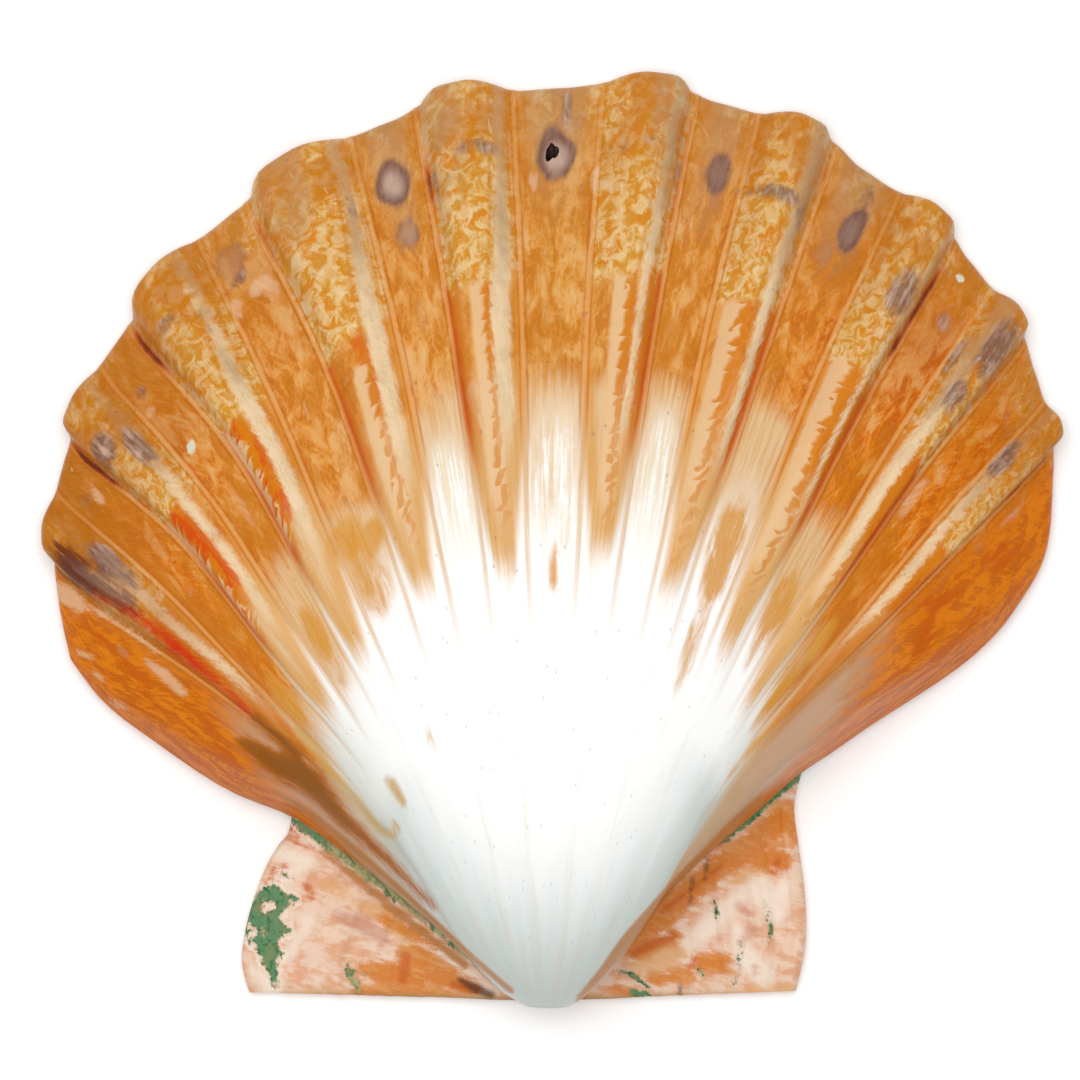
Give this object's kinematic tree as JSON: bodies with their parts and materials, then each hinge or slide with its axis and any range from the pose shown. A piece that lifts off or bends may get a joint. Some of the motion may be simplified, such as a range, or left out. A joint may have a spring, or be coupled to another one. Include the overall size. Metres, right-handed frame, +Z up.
{
  "type": "lion paw scallop shell",
  "caption": "Single scallop shell valve, deeply ribbed fan with a scalloped margin, smooth rounded beak and a pair of hinge ears, hollow underneath.",
  "frame": {"origin": "centre of the footprint, on the surface the shell lies on", "axes": "+X along the hinge line, +Y from the hinge towards the far scalloped margin, +Z up, out of the convex side"},
  "size_m": [0.14, 0.128, 0.0301],
  "materials": {
    "polished_shell": "polished"
  },
  "bodies": {
    "root": {"shell_valve": "polished_shell"}
  },
  "joints": []
}
